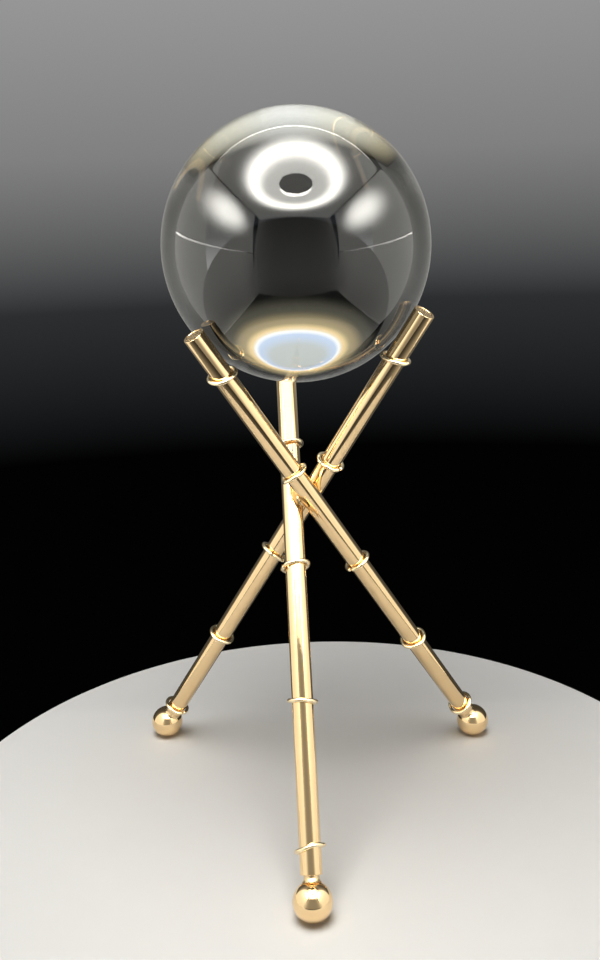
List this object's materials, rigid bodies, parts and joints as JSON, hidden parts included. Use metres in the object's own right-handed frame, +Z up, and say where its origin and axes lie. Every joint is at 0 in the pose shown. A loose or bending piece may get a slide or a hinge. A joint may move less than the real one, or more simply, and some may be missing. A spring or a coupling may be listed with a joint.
{
  "type": "crystal ball on stand",
  "caption": "Clear crystal ball resting loose on a tripod of crossed polished brass tubes with wire rings and ball feet.",
  "frame": {"origin": "centre of the footprint, on the floor under the feet", "axes": "+Z up through the ball; -Y is the front, where one foot stands ahead of the other two; +X is the viewer's right"},
  "size_m": [0.1586, 0.1436, 0.2774],
  "materials": {
    "crystal": "clear polished crystal glass",
    "tube": "mirror-polished pale brass tube",
    "plug": "turned brass, lightly polished",
    "foot": "mirror-polished pale brass ball",
    "ring": "polished round brass wire, soldered on",
    "braze": "pale brazing alloy, satin and slightly lumpy"
  },
  "bodies": {
    "stand": {"tube_front": "tube", "top_plug_front": "plug", "foot_spigot_front": "plug", "foot_ball_front": "foot", "ring_front_1": "ring", "ring_front_2": "ring", "ring_front_3": "ring", "ring_front_4": "ring", "ring_front_5": "ring", "tube_right": "tube", "top_plug_right": "plug", "foot_spigot_right": "plug", "foot_ball_right": "foot", "ring_right_1": "ring", "ring_right_2": "ring", "ring_right_3": "ring", "ring_right_4": "ring", "ring_right_5": "ring", "tube_left": "tube", "top_plug_left": "plug", "foot_spigot_left": "plug", "foot_ball_left": "foot", "ring_left_1": "ring", "ring_left_2": "ring", "ring_left_3": "ring", "ring_left_4": "ring", "ring_left_5": "ring", "braze_front_right": "braze", "braze_right_left": "braze", "braze_left_front": "braze"},
    "ball": {"crystal_ball": "crystal"}
  },
  "joints": [
    {"name": "ball_lift", "type": "slide", "parent": "stand", "child": "ball", "axis": [0, 0, 1], "range_m": [0, 0.12]}
  ]
}
